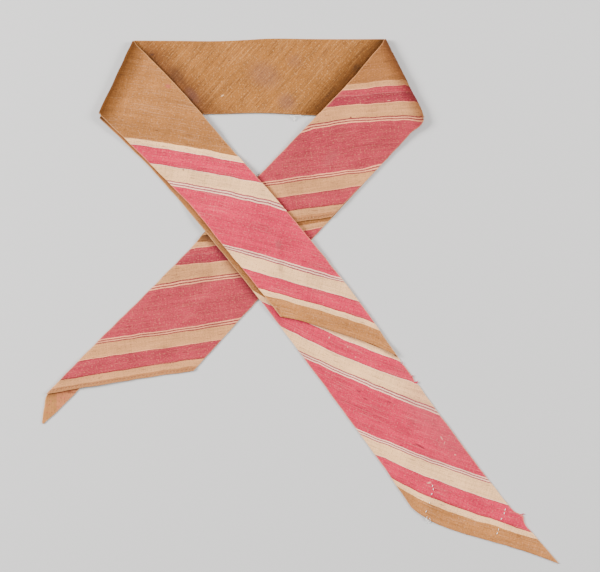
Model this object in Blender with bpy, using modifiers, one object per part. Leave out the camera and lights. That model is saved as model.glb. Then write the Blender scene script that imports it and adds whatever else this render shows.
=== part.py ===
"""A striped cotton cravat, folded on the bias into a band and laid flat with its ends crossed.

The band is a square of cloth folded over and over from corner to corner, so each end shows an
upper layer that stops at a hem and a lower layer that goes on to the cloth's corner. The neck
stretch lies lowest. Both ends fold forward over it at a crease, and the left end crosses the
right one. Tables are in millimetres seen from above, +X to the right and +Y up the photograph.
"""
import math
from collections import namedtuple

import bmesh
import bpy

MM = 0.001

# Thicknesses and clearances, in millimetres
LAYER = 1.0
SEAM = 0.3
NECK_THICKNESS = 2.4
HEM_THICKNESS = 1.5
HEM_WIDTH = 5.0
EDGE_CHAMFER = 0.25
NECK_LIP = 0.7
NECK_GROOVE = 0.5

# How the cloth rises over what lies under it, and how the creases stand open
DRAPE_REACH = 36.0
DRAPE_MARGIN = 5.0
CREASE_OPEN = 1.0
CREASE_REACH = 20.0
ROLL_RADIUS = 2.0
ROLL_STEP_DEGREES = 30

# Spacing of the cloth's mesh, in millimetres
STEP_ALONG = 8.5
COLUMNS_ACROSS = 10

# Each row is a section across a stretch, from the left edge to the right edge as seen in the
# photograph, starting at the crease. The neck stretch runs across, from the left crease to the
# right one, and its lower edge stands in for the left edge. The bows push the section towards
# the end, a quarter of the way in from each edge.
BOW_PEAK = 0.25 * 0.75 ** 3
Section = namedtuple("Section", "left_x left_y right_x right_y left_bow right_bow", defaults=(0, 0))

NECK = [
    Section(-198.7, 186.5, -164.2, 260.8),
    Section(-140.0, 187.0, -125.0, 260.4),
    Section(-90.0, 187.2, -78.0, 260.2),
    Section(-38.0, 188.3, -30.0, 262.6),
    Section(12.0, 186.0, 8.0, 262.2),
    Section(65.0, 185.6, 45.0, 262.0),
    Section(119.2, 186.5, 80.9, 262.2),
]

LEFT_UPPER = [
    Section(-201.7, 187.9, -168.0, 259.5),
    Section(-169.0, 156.0, -119.5, 211.0),
    Section(-137.0, 124.0, -74.5, 159.0),
    Section(-105.5, 91.0, -28.5, 107.5),
    Section(-77.0, 55.5, 15.5, 55.0),
    Section(-48.0, 20.5, 58.0, 1.0),
    Section(-19.5, -15.5, 97.5, -55.5, -3.2, -3.4),
]

LEFT_LOWER = [
    Section(-200.5, 182.5, -163.5, 254.0),
    Section(-154.5, 138.0, -105.5, 194.0),
    Section(-113.0, 91.5, -50.5, 131.0),
    Section(-73.5, 43.0, 4.0, 68.0),
    Section(-35.0, -5.5, 55.5, 2.5),
    Section(2.5, -55.5, 104.5, -65.0),
    Section(39.5, -105.5, 153.5, -132.5),
    Section(76.5, -156.0, 204.5, -199.0),
    Section(111.0, -206.0, 259.0, -262.5, 6.5, 0),
]

RIGHT_UPPER = [
    Section(86.5, 259.5, 124.4, 184.5),
    Section(41.5, 211.0, 101.5, 158.5),
    Section(-5.0, 163.5, 78.0, 133.5),
    Section(-51.5, 115.5, 54.5, 109.0),
    Section(-98.0, 66.0, 31.0, 84.5),
]

RIGHT_LOWER = [
    Section(82.0, 252.5, 116.0, 178.5),
    Section(25.5, 195.0, 79.5, 136.0),
    Section(-30.5, 137.0, 42.0, 95.0),
    Section(-86.0, 78.5, 4.5, 54.5),
    Section(-141.5, 21.0, -32.5, 13.0),
    Section(-198.5, -35.5, -70.0, -28.5),
    Section(-254.5, -92.7, -107.0, -69.5, -0.7, -0.7),
]

TURNED_CORNER = [
    Section(-239.0, -80.0, -210.0, -76.5),
    Section(-253.5, -94.5, -221.0, -87.5),
    Section(-256.7, -106.5, -239.5, -106.5),
    Section(-259.0, -120.0, -255.0, -122.5),
]

TAN = (0.52, 0.27, 0.10, 1.0)
ROSE = (0.78, 0.15, 0.19, 1.0)
DULL_ROSE = (0.56, 0.13, 0.13, 1.0)
PALE_TAN = (0.60, 0.36, 0.20, 1.0)


# Plan of a stretch

def section_at(rows, share):
    """The section at a share, 0 to 1, of a stretch, on a smooth curve through its rows."""
    last = len(rows) - 1
    spot = min(max(share, 0.0), 1.0) * last
    start = min(int(spot), last - 1)
    part = spot - start
    a, b = rows[start], rows[start + 1]
    before = rows[start - 1] if start > 0 else [2 * p - q for p, q in zip(a, b)]
    after = rows[start + 2] if start + 2 <= last else [2 * q - p for p, q in zip(a, b)]
    values = []
    for p0, p1, p2, p3 in zip(before, a, b, after):
        bend = 2 * p0 - 5 * p1 + 4 * p2 - p3
        twist = 3 * (p1 - p2) + p3 - p0
        values.append(p1 + 0.5 * part * (p2 - p0 + part * (bend + part * twist)))
    return Section(*values)


def plan_point(rows, share, across):
    """A point of the stretch seen from above."""
    row = section_at(rows, share)
    x = row.left_x + across * (row.right_x - row.left_x)
    y = row.left_y + across * (row.right_y - row.left_y)
    width = math.hypot(row.right_x - row.left_x, row.right_y - row.left_y)
    back = 1 - across
    push = (row.left_bow * across * back ** 3 + row.right_bow * back * across ** 3) / BOW_PEAK
    x += push * (row.right_y - row.left_y) / width
    y -= push * (row.right_x - row.left_x) / width
    return x, y


def middle_length(rows):
    """Length of a stretch along its middle."""
    middles = [((r.left_x + r.right_x) / 2, (r.left_y + r.right_y) / 2) for r in rows]
    return sum(math.dist(p, q) for p, q in zip(middles, middles[1:]))


def hem_share(rows, width):
    """The share of a stretch that a hem of that width takes up at its end."""
    end, inner = rows[-1], section_at(rows, 0.95)
    length = math.hypot(end.right_x - end.left_x, end.right_y - end.left_y)
    dx = (inner.left_x + inner.right_x - end.left_x - end.right_x) / 2
    dy = (inner.left_y + inner.right_y - end.left_y - end.right_y) / 2
    away = dx * (end.right_y - end.left_y) - dy * (end.right_x - end.left_x)
    return 0.05 * width * length / abs(away)


# What lies under a stretch

def quad(first, last):
    """The four corners of the cloth between two sections, anticlockwise."""
    return [
        (first.left_x, first.left_y),
        (last.left_x, last.left_y),
        (last.right_x, last.right_y),
        (first.right_x, first.right_y),
    ]


def distance_outside(x, y, corners):
    """How far a point lies outside a four-sided outline; negative inside it."""
    furthest = -math.inf
    for (ax, ay), (bx, by) in zip(corners, corners[1:] + corners[:1]):
        side = (by - ay) * (x - ax) - (bx - ax) * (y - ay)
        furthest = max(furthest, side / math.dist((ax, ay), (bx, by)))
    return furthest


def rise(x, y, supports):
    """Height at which cloth lies over its supports, easing down to the surface round them."""
    height = 0.0
    for corners, top in supports:
        gone = (distance_outside(x, y, corners) - DRAPE_MARGIN) / DRAPE_REACH
        share = min(max(1 - gone, 0.0), 1.0)
        height = max(height, (top + SEAM) * share * share * (3 - 2 * share))
    return height


def crease_side(rows):
    """The crease's left end and its unit normal towards the stretch."""
    crease = rows[0]
    length = math.hypot(crease.right_x - crease.left_x, crease.right_y - crease.left_y)
    normal_x = (crease.right_y - crease.left_y) / length
    normal_y = (crease.left_x - crease.right_x) / length
    return crease.left_x, crease.left_y, normal_x, normal_y


def crease_lift(x, y, upper_rows):
    """Extra height near the crease, where the fold stands a little open."""
    left_x, left_y, normal_x, normal_y = crease_side(upper_rows)
    inside = (x - left_x) * normal_x + (y - left_y) * normal_y
    return CREASE_OPEN * math.exp(-max(inside, 0.0) / CREASE_REACH)


# The cloth's mesh

def flat_grid(places, hem_rows=0):
    """A grid primitive whose points are moved to places[along][across].

    The last hem_rows rows are marked in the first vertex group, which thickens the hem.
    """
    along, across = len(places) - 1, len(places[0]) - 1
    grid = bmesh.new()
    bmesh.ops.create_grid(grid, x_segments=along, y_segments=across, size=0.5)
    hem = grid.verts.layers.deform.verify()
    for vert in grid.verts:
        i = round((vert.co.x + 0.5) * along)
        j = round((vert.co.y + 0.5) * across)
        vert.co = [MM * value for value in places[i][j]]
        vert[hem][0] = 1.0 if i > along - hem_rows else 0.0
    return grid


def spread(start, end, step):
    """Evenly spaced values from start to end, no further apart than step."""
    count = max(1, math.ceil((end - start) / step))
    return [start + (end - start) * k / count for k in range(count + 1)]


def lay_sections(rows, shares, underside):
    """Places of the cloth's underside at each share, with its height from underside(x, y)."""
    places = []
    for share in shares:
        line = []
        for j in range(COLUMNS_ACROSS + 1):
            x, y = plan_point(rows, share, j / COLUMNS_ACROSS)
            line.append((x, y, underside(x, y)))
        places.append(line)
    return places


def roll_sections(rows, underside):
    """Places round the crease, from below the fold, round its outside and on to its top."""
    _, _, normal_x, normal_y = crease_side(rows)
    places = []
    for degrees in range(-90, 91, ROLL_STEP_DEGREES):
        angle = math.radians(degrees)
        inward = LAYER + ROLL_RADIUS - ROLL_RADIUS * math.cos(angle)
        line = []
        for j in range(COLUMNS_ACROSS + 1):
            x, y = plan_point(rows, 0.0, j / COLUMNS_ACROSS)
            top = underside(x, y)
            height = (top + LAYER) / 2 + (top - LAYER) / 2 * math.sin(angle)
            line.append((x + inward * normal_x, y + inward * normal_y, height))
        places.append(line)
    return places


def add_material(obj, colour):
    """Plain woven cotton of one colour."""
    material = bpy.data.materials.new(obj.name)
    material.use_nodes = True
    shader = material.node_tree.nodes["Principled BSDF"]
    shader.inputs["Base Color"].default_value = colour
    shader.inputs["Roughness"].default_value = 0.9
    shader.inputs["Metallic"].default_value = 0.0
    obj.data.materials.append(material)


def add_object(name, mesh_data, colour, collection):
    mesh = bpy.data.meshes.new(name)
    mesh_data.to_mesh(mesh)
    mesh_data.free()
    obj = bpy.data.objects.new(name, mesh)
    collection.objects.link(obj)
    add_material(obj, colour)
    return obj


def add_chamfer(obj, width, segments):
    """Takes the sharp edge off the cloth's rim."""
    bevel = obj.modifiers.new("Edge", "BEVEL")
    bevel.width = width * MM
    bevel.segments = segments
    bevel.limit_method = "ANGLE"
    bevel.angle_limit = math.radians(60)


def add_layer(name, places, hem_rows, colour, collection):
    """One layer of cloth on its underside's places. The last hem_rows rows are turned up."""
    obj = add_object(name, flat_grid(places, hem_rows), colour, collection)
    wall = obj.modifiers.new("Wall", "SOLIDIFY")
    wall.thickness = LAYER * MM
    wall.offset = 1.0
    if hem_rows:
        wall.thickness = HEM_THICKNESS * MM
        wall.vertex_group = obj.vertex_groups.new(name="hem").name
        wall.thickness_vertex_group = LAYER / HEM_THICKNESS
    add_chamfer(obj, EDGE_CHAMFER, 1)


def upper_layer(name, rows, supports, hemmed, colour, collection):
    """The layer on top of an end: it rolls round the crease and stops at its hem."""
    def underside(x, y):
        under = rise(x, y, supports) + crease_lift(x, y, rows)
        return under + LAYER + SEAM

    step = STEP_ALONG / middle_length(rows)
    if hemmed:
        hem = hem_share(rows, HEM_WIDTH)
        shares = spread(step, 1 - 1.2 * hem, step) + [1 - hem, 1.0]
    else:
        shares = spread(step, 1.0, step)
    places = roll_sections(rows, underside)
    places += lay_sections(rows, shares, underside)
    add_layer(name, places, 2 if hemmed else 0, colour, collection)


def lower_layer(name, rows, upper_rows, supports, hemmed, colour, collection):
    """The layer beneath: it starts inside the crease's roll and goes on to the corner."""
    def underside(x, y):
        return rise(x, y, supports) + crease_lift(x, y, upper_rows)

    step = STEP_ALONG / middle_length(rows)
    if hemmed:
        hem = hem_share(rows, HEM_WIDTH)
        shares = spread(0.0, 1 - 1.2 * hem, step) + [1 - hem, 1.0]
    else:
        shares = spread(0.0, 1.0, step)
    places = lay_sections(rows, shares, underside)
    add_layer(name, places, 2 if hemmed else 0, colour, collection)


def neck_band(collection):
    """The neck stretch: its hidden layers are one solid with a groove round its edge."""
    shares = spread(0.0, 1.0, 2 * STEP_ALONG / middle_length(NECK))
    band = flat_grid(lay_sections(NECK, shares, lambda x, y: 0.0))
    bmesh.ops.solidify(band, geom=band.faces[:], thickness=-NECK_THICKNESS * MM)
    bmesh.ops.recalc_face_normals(band, faces=band.faces[:])
    rim = [face for face in band.faces if abs(face.normal.z) < 0.5]
    bmesh.ops.inset_region(
        band,
        faces=rim,
        thickness=NECK_LIP * MM,
        depth=-NECK_GROOVE * MM,
        use_even_offset=True,
    )
    obj = add_object("neck_band", band, TAN, collection)
    add_chamfer(obj, EDGE_CHAMFER, 1)


def centre_on_origin(collection):
    """Moves everything together, so that the middle of its footprint is the origin."""
    bpy.context.view_layer.update()
    graph = bpy.context.evaluated_depsgraph_get()
    points = []
    for obj in collection.objects:
        cloth = obj.evaluated_get(graph)
        points += [cloth.matrix_world @ vert.co for vert in cloth.data.vertices]
    middle_x = (min(p.x for p in points) + max(p.x for p in points)) / 2
    middle_y = (min(p.y for p in points) + max(p.y for p in points)) / 2
    for obj in collection.objects:
        obj.location = (-middle_x, -middle_y, 0.0)


def build():
    for obj in list(bpy.data.objects):
        bpy.data.objects.remove(obj, do_unlink=True)
    collection = bpy.data.collections.new("cravat")
    bpy.context.scene.collection.children.link(collection)

    neck = (quad(NECK[0], NECK[-1]), NECK_THICKNESS)
    corner = (quad(TURNED_CORNER[0], TURNED_CORNER[-1]), LAYER)
    right_stack = (quad(RIGHT_UPPER[0], RIGHT_UPPER[-1]), LAYER + SEAM + HEM_THICKNESS)
    right_single = (quad(RIGHT_LOWER[0], RIGHT_LOWER[-1]), LAYER)
    under_right = [neck, corner]
    under_left = [neck, right_stack, right_single]

    neck_band(collection)
    corner_step = STEP_ALONG / middle_length(TURNED_CORNER)
    add_layer(
        "right_turned_corner",
        lay_sections(TURNED_CORNER, spread(0.0, 1.0, corner_step), lambda x, y: 0.0),
        0,
        PALE_TAN,
        collection,
    )
    lower_layer(
        "right_front_lower", RIGHT_LOWER, RIGHT_UPPER, under_right, True, DULL_ROSE, collection
    )
    upper_layer("right_front_upper", RIGHT_UPPER, under_right, True, DULL_ROSE, collection)
    lower_layer("left_front_lower", LEFT_LOWER, LEFT_UPPER, under_left, False, ROSE, collection)
    upper_layer("left_front_upper", LEFT_UPPER, under_left, False, ROSE, collection)
    centre_on_origin(collection)


build()
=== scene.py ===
"""A striped cotton cravat, folded on the bias into a band and laid flat with its ends crossed.

Lengths are in millimetres seen from above unless a name says otherwise, +X to the right and +Y
towards the neck, and become metres where a mesh is made.
"""
import math
import random
from collections import namedtuple

import bpy
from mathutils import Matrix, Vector, noise


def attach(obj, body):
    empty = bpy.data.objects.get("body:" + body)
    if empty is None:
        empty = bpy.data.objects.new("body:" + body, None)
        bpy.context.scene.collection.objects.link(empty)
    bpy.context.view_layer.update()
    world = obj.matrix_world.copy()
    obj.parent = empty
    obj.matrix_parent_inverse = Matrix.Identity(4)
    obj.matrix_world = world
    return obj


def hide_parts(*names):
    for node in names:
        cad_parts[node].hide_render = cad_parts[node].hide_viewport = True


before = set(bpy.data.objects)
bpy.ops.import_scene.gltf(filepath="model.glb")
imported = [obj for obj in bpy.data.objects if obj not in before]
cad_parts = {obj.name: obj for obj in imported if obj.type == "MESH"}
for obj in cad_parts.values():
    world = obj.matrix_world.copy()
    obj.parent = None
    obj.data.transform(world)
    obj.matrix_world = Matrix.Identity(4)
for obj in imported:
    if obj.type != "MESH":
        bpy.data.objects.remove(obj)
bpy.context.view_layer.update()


# Neck stretch
# The plain tan middle of the cotton square, folded over several times into a band. It lies
# lowest, face down to the table, and both ends fold forward over it at a crease.

MM = 0.001
CLOTH_STEP = 1.9
RIM_STEPS = (0.0, 0.12, 0.45, 1.0)
RUN_STEP = 0.02
MAP_SCALE = 0.01
THREAD_SIDES = 6
LOOSE_THREAD_RADIUS = 0.35

NECK_THICKNESS = 2.4
NECK_UNDER_TOP = 1.15
NECK_OVER_BASE = 1.2
NECK_GRID_WIDTH = 75.0
NECK_WEFT_SLANT = 48.0
NECK_WAVE_HEIGHT = 0.12
NECK_WAVE_LENGTH = 55.0
NECK_WAVE_SEED = 3.0
NECK_CREASE_SHARE = 0.7

Section = namedtuple("Section", "left_x left_y right_x right_y left_bow right_bow", defaults=(0, 0))
Spot = namedtuple("Spot", "place normal half u v edge crease shade")
Ripple = namedtuple("Ripple", "x y slant length width height")
Shadow = namedtuple("Shadow", "line reach strength")
Mark = namedtuple("Mark", "x y length width slant colour strength")

# The largest value of across * (1 - across) ** 3, by which a section's bows become millimetres
BOW_PEAK = 0.25 * 0.75 ** 3

NECK = [
    Section(-200.2, 187.2, -165.8, 260.5),
    Section(-140.0, 187.0, -125.0, 260.4),
    Section(-90.0, 187.2, -78.0, 260.2),
    Section(-38.0, 188.3, -30.0, 262.6),
    Section(12.0, 186.0, 8.0, 262.2),
    Section(65.0, 185.6, 45.0, 262.0),
    Section(121.6, 186.5, 83.6, 262.0),
]
LEFT_CREASE = Section(-201.7, 187.9, -167.4, 260.3)
RIGHT_CREASE = Section(85.4, 261.8, 124.4, 184.5)
CREASE_OPEN = 2.0
CREASE_REACH = 20.0
NECK_RIPPLES = [
    Ripple(-112, 222, 50, 30, 6, 0.83),
    Ripple(-78, 214, 47, 24, 5, 0.60),
    Ripple(-31, 228, 52, 27, 4, 0.75),
    Ripple(4, 212, 46, 22, 6, 0.52),
    Ripple(38, 232, 49, 20, 4, 0.68),
    Ripple(-12, 189, 4, 26, 3, 0.60),
]
# Painted shadow on the neck beside the left front's edge, and the right front's edge, beside which
# painted olive shade darkens the neck
NECK_SHADOW = Shadow([(-149, 242), (-145, 235), (-119.5, 211), (-74.5, 159)], 30.0, 0.78)
RIGHT_FRONT_SHADE_LINE = [(86.5, 259.5), (41.5, 211), (-5, 163.5)]
VIOLET = (0.20, 0.085, 0.075, 1.0)
BROWN = (0.11, 0.045, 0.022, 1.0)
PALE_TAN = (0.80, 0.48, 0.26, 1.0)
NECK_MARKS = [
    Mark(-148, 246.5, 3.2, 2.0, 10, BROWN, 0.7),
    Mark(-71, 240.5, 2.2, 0.8, 0, BROWN, 0.8),
    Mark(-78, 205.5, 2.6, 0.9, 30, PALE_TAN, 0.9),
    Mark(-36, 226, 18, 24, 60, VIOLET, 0.28),
    Mark(-14, 199, 12, 14, 45, VIOLET, 0.32),
    # The next two marks deepen the painted shadow beside the left front's edge
    Mark(-124, 226, 17, 8, -50, BROWN, 0.38),
    Mark(-108, 206, 14, 7, -50, VIOLET, 0.40),
    # A darker spot in the painted olive shade beside the right front's edge
    Mark(56, 233, 8, 5, 47, BROWN, 0.40),
    Mark(-6, 240, 10, 12, 60, VIOLET, 0.18),
]
LOOSE_THREAD = [
    [(-10.5, 185.4, 2.7), (-7.5, 184.9, 3.0), (-4.0, 185.6, 2.9), (0.5, 185.9, 2.7)],
    [(-6.8, 185.6, 2.9), (-5.9, 183.6, 2.2), (-6.4, 181.8, 1.0), (-5.7, 180.4, 0.5)],
]


def section_at(rows, share):
    """The section at a share, 0 to 1, of a stretch, on a smooth curve through its rows."""
    last = len(rows) - 1
    spot = min(max(share, 0.0), 1.0) * last
    start = min(int(spot), last - 1)
    part = spot - start
    a, b = rows[start], rows[start + 1]
    before = rows[start - 1] if start > 0 else [2 * p - q for p, q in zip(a, b)]
    after = rows[start + 2] if start + 2 <= last else [2 * q - p for p, q in zip(a, b)]
    values = []
    for p0, p1, p2, p3 in zip(before, a, b, after):
        bend = 2 * p0 - 5 * p1 + 4 * p2 - p3
        twist = 3 * (p1 - p2) + p3 - p0
        values.append(p1 + 0.5 * part * (p2 - p0 + part * (bend + part * twist)))
    return Section(*values)


def plan_point(row, across):
    """A point on a section, seen from above."""
    x = row.left_x + across * (row.right_x - row.left_x)
    y = row.left_y + across * (row.right_y - row.left_y)
    width = math.hypot(row.right_x - row.left_x, row.right_y - row.left_y)
    back = 1 - across
    push = (row.left_bow * across * back ** 3 + row.right_bow * back * across ** 3) / BOW_PEAK
    x += push * (row.right_y - row.left_y) / width
    y -= push * (row.right_x - row.left_x) / width
    return x, y


def middle_length(rows):
    """Length of a stretch along its middle."""
    middles = [((r.left_x + r.right_x) / 2, (r.left_y + r.right_y) / 2) for r in rows]
    return sum(math.dist(p, q) for p, q in zip(middles, middles[1:]))


def square_width(rows, share):
    """Width of the band at a share, measured square to its run."""
    a = section_at(rows, share - RUN_STEP)
    b = section_at(rows, share + RUN_STEP)
    run_x = b.left_x + b.right_x - a.left_x - a.right_x
    run_y = b.left_y + b.right_y - a.left_y - a.right_y
    row = section_at(rows, share)
    cross = run_x * (row.right_y - row.left_y) - run_y * (row.right_x - row.left_x)
    return abs(cross) / math.hypot(run_x, run_y)


def spaced(length, rim):
    """Distances from 0 to length in cloth steps, with close ones where the edge is rounded."""
    close = [step * rim for step in RIM_STEPS]
    count = math.ceil((length - 2 * rim) / CLOTH_STEP)
    middle = [rim + (length - 2 * rim) * k / count for k in range(1, count)]
    return close + middle + [length - d for d in reversed(close)]


def roundness(distance, rim):
    """Share of the full thickness at a distance from a rounded edge."""
    if distance >= rim:
        return 1.0
    return math.sqrt(max(1 - ((rim - distance) / rim) ** 2, 0.0))


def rippled(x, y, ripples):
    """Height that the listed soft creases add at a point."""
    height = 0.0
    for ripple in ripples:
        cos = math.cos(math.radians(ripple.slant))
        sin = math.sin(math.radians(ripple.slant))
        along = ((x - ripple.x) * cos + (y - ripple.y) * sin) / ripple.length
        aside = ((y - ripple.y) * cos - (x - ripple.x) * sin) / ripple.width
        height += ripple.height * math.exp(-along * along - aside * aside)
    return height


def distance_to_line(x, y, line):
    """Distance from a point to a line of straight pieces."""
    nearest = math.inf
    for (ax, ay), (bx, by) in zip(line, line[1:]):
        run_x, run_y = bx - ax, by - ay
        part = ((x - ax) * run_x + (y - ay) * run_y) / (run_x * run_x + run_y * run_y)
        part = min(max(part, 0.0), 1.0)
        nearest = min(nearest, math.hypot(x - ax - part * run_x, y - ay - part * run_y))
    return nearest


def shade_at(x, y, shadows):
    """How deep the painted shadow is, 0 to 1, beside the edges that lie on it."""
    deepest = 0.0
    for shadow in shadows:
        left = max(1 - distance_to_line(x, y, shadow.line) / shadow.reach, 0.0)
        deepest = max(deepest, shadow.strength * left * left * (3 - 2 * left))
    return deepest


def from_crease(x, y, crease):
    """Distance of a point from a crease, and the crease's normal towards the cloth."""
    length = math.hypot(crease.right_x - crease.left_x, crease.right_y - crease.left_y)
    normal_x = (crease.right_y - crease.left_y) / length
    normal_y = (crease.left_x - crease.right_x) / length
    inside = (x - crease.left_x) * normal_x + (y - crease.left_y) * normal_y
    return inside, normal_x, normal_y


def crease_lift(x, y, crease):
    """Extra height near a crease, where the fold stands a little open."""
    inside, _, _ = from_crease(x, y, crease)
    return CREASE_OPEN * math.exp(-max(inside, 0.0) / CREASE_REACH)


def sheet_of_cloth(name, spots):
    """A closed sheet whose faces lie half its thickness above and below a grid of spots."""
    last_i = len(spots) - 1
    last_j = len(spots[0]) - 1
    points = []
    facts = []
    over = {}
    under = {}
    for i, line in enumerate(spots):
        for j, spot in enumerate(line):
            over[i, j] = under[i, j] = len(points)
            points.append([MM * c for c in spot.place + spot.normal * spot.half])
            facts.append(spot)
            if 0 < i < last_i and 0 < j < last_j:
                under[i, j] = len(points)
                points.append([MM * c for c in spot.place - spot.normal * spot.half])
                facts.append(spot)
    faces = []
    for i in range(last_i):
        for j in range(last_j):
            corners = [(i, j), (i + 1, j), (i + 1, j + 1), (i, j + 1)]
            faces.append([over[c] for c in corners])
            faces.append([under[c] for c in reversed(corners)])
    mesh = bpy.data.meshes.new(name)
    mesh.from_pydata(points, [], faces)
    cloth_map = mesh.uv_layers.new(name="cloth")
    for loop in mesh.loops:
        spot = facts[loop.vertex_index]
        cloth_map.data[loop.index].uv = (MAP_SCALE * spot.u, MAP_SCALE * spot.v)
    for key in ("edge", "crease", "shade"):
        values = mesh.attributes.new(key, "FLOAT", "POINT")
        values.data.foreach_set("value", [getattr(spot, key) for spot in facts])
    mesh.shade_smooth()
    obj = bpy.data.objects.new(name, mesh)
    bpy.context.scene.collection.objects.link(obj)
    return obj


def add_node(tree, kind, inputs=None, **settings):
    """A shader node with its settings, its sockets linked or given a value."""
    node = tree.nodes.new(kind)
    for key, value in settings.items():
        setattr(node, key, value)
    for key, value in (inputs or {}).items():
        if isinstance(value, bpy.types.NodeSocket):
            tree.links.new(value, node.inputs[key])
        else:
            node.inputs[key].default_value = value
    return node


def calc(tree, operation, first, second=0.0):
    """The output of a Math node."""
    return add_node(tree, "ShaderNodeMath", {0: first, 1: second}, operation=operation).outputs[0]


def fade(tree, value, start, end, at_start, at_end):
    """A value that eases from one level to another as the input goes from start to end."""
    inputs = {0: value, 1: start, 2: end, 3: at_start, 4: at_end}
    node = add_node(tree, "ShaderNodeMapRange", inputs, interpolation_type="SMOOTHSTEP")
    return node.outputs[0]


def mixed(tree, share, first, second, blend="MIX"):
    """The colour output of a Mix node."""
    inputs = {0: share, 6: first, 7: second}
    node = add_node(tree, "ShaderNodeMix", inputs, data_type="RGBA", blend_type=blend)
    return node.outputs[2]


def patches(tree, where, scale, size=1.0, detail=2.0):
    """Noise, 0 to 1, on the cloth map stretched by scale."""
    mapping = add_node(tree, "ShaderNodeMapping", {"Vector": where, "Scale": (*scale, 1.0)})
    inputs = {"Vector": mapping.outputs[0], "Scale": size, "Detail": detail, "Roughness": 0.55}
    return add_node(tree, "ShaderNodeTexNoise", inputs, noise_dimensions="2D").outputs[0]


def cloth_coordinates(tree):
    """The cloth map in millimetres: as a vector, along the weft and across it."""
    uv = add_node(tree, "ShaderNodeUVMap", uv_map="cloth").outputs[0]
    scale = (1 / MAP_SCALE, 1 / MAP_SCALE, 1.0)
    where = add_node(tree, "ShaderNodeMapping", {"Vector": uv, "Scale": scale}).outputs[0]
    parts = add_node(tree, "ShaderNodeSeparateXYZ", {0: where})
    return where, parts.outputs[0], parts.outputs[1]


DARK_DOT = (0.42, 0.36, 0.40, 1.0)
DARK_DASH = (0.35, 0.30, 0.32, 1.0)
# Colour of the painted shadow beside edges that lie on the cloth
SHADOW_TINT = (0.30, 0.23, 0.27, 1.0)


def add_weave_and_painted_light(tree, where, colour, slub, fleck, fleck_colour, rim, shade, shade_reach, marks):
    """Adds threads, flecks, marks, painted crease shade and shadow, a painted highlight along the rim
    and the bump of the weave to a cotton's colour.
    """
    weft = patches(tree, where, (0.035, 1.0), size=0.9, detail=3.0)
    band = patches(tree, where, (0.02, 1.0), size=0.22, detail=2.0)
    warp = patches(tree, where, (1.0, 0.06), size=0.9, detail=3.0)
    cloud = patches(tree, where, (1.0, 1.0), size=0.03, detail=3.0)
    specks = patches(tree, where, (0.55, 1.0), size=0.85, detail=1.0)
    streaks = patches(tree, where, (0.03, 1.0), size=0.8, detail=3.0)
    dots = patches(tree, where, (0.8, 1.1), size=0.95, detail=1.0)
    dashes = patches(tree, where, (0.16, 1.3), size=0.55, detail=1.0)
    tone = calc(tree, "MULTIPLY", calc(tree, "SUBTRACT", weft, 0.5), slub)
    for threads, strength in ((band, 0.45), (warp, 0.4), (cloud, 0.5)):
        uneven = calc(tree, "MULTIPLY", calc(tree, "SUBTRACT", threads, 0.5), strength)
        tone = calc(tree, "ADD", tone, uneven)
    tone = calc(tree, "ADD", tone, 1.0)
    grey = add_node(tree, "ShaderNodeCombineXYZ", {0: tone, 1: tone, 2: tone}).outputs[0]
    colour = mixed(tree, 1.0, colour, grey, "MULTIPLY")
    colour = mixed(tree, fade(tree, specks, 0.60, 0.72, 0.0, fleck), colour, fleck_colour)
    colour = mixed(tree, fade(tree, streaks, 0.58, 0.70, 0.0, 0.10), colour, fleck_colour)
    colour = mixed(tree, fade(tree, dots, 0.61, 0.72, 0.0, 0.55), colour, DARK_DOT, "MULTIPLY")
    colour = mixed(tree, fade(tree, dashes, 0.68, 0.76, 0.0, 0.5), colour, DARK_DASH, "MULTIPLY")
    place = add_node(tree, "ShaderNodeTexCoord").outputs["Object"]
    for mark in marks:
        inputs = {
            "Vector": place,
            "Location": (MM * mark.x, MM * mark.y, 0.0),
            "Rotation": (0.0, 0.0, math.radians(mark.slant)),
            "Scale": (MM * mark.length, MM * mark.width, 1.0),
        }
        near = add_node(tree, "ShaderNodeMapping", inputs, vector_type="TEXTURE").outputs[0]
        far = add_node(tree, "ShaderNodeVectorMath", {0: near}, operation="LENGTH").outputs["Value"]
        colour = mixed(tree, fade(tree, far, 0.25, 1.0, mark.strength, 0.0), colour, mark.colour)
    edge = add_node(tree, "ShaderNodeAttribute", attribute_name="edge").outputs["Fac"]
    crease = add_node(tree, "ShaderNodeAttribute", attribute_name="crease").outputs["Fac"]
    painted_shadow = add_node(tree, "ShaderNodeAttribute", attribute_name="shade").outputs["Fac"]
    # Painted shade, darkest at a crease and fading over shade_reach; on the neck it lies beside the
    # right front's edge
    colour = mixed(tree, fade(tree, crease, 0.0, shade_reach, 1.0, 0.0), colour, shade, "MULTIPLY")
    # Painted shadow beside the edges of layers that lie on top, from the shade attribute
    colour = mixed(tree, painted_shadow, colour, SHADOW_TINT, "MULTIPLY")
    # Painted highlight: the colour lightens towards every edge of the cloth
    colour = mixed(tree, fade(tree, edge, 0.2, 1.2, 0.32, 0.0), colour, rim)
    weave = calc(tree, "MULTIPLY", calc(tree, "ADD", weft, warp), 0.5)
    height = calc(tree, "ADD", weave, calc(tree, "MULTIPLY", specks, 0.4))
    inputs = {"Strength": 0.5, "Distance": 0.0005, "Height": height}
    bump = add_node(tree, "ShaderNodeBump", inputs).outputs[0]
    rough = fade(tree, weft, 0.3, 0.7, 0.95, 0.82)
    shader = tree.nodes["Principled BSDF"]
    tree.links.new(colour, shader.inputs["Base Color"])
    tree.links.new(rough, shader.inputs["Roughness"])
    tree.links.new(bump, shader.inputs["Normal"])
    shader.inputs["Specular IOR Level"].default_value = 0.2
    shader.inputs["Sheen Weight"].default_value = 0.05


def new_material(name):
    """A material made of nodes, with its node tree."""
    material = bpy.data.materials.new(name)
    material.use_nodes = True
    return material, material.node_tree


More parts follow.
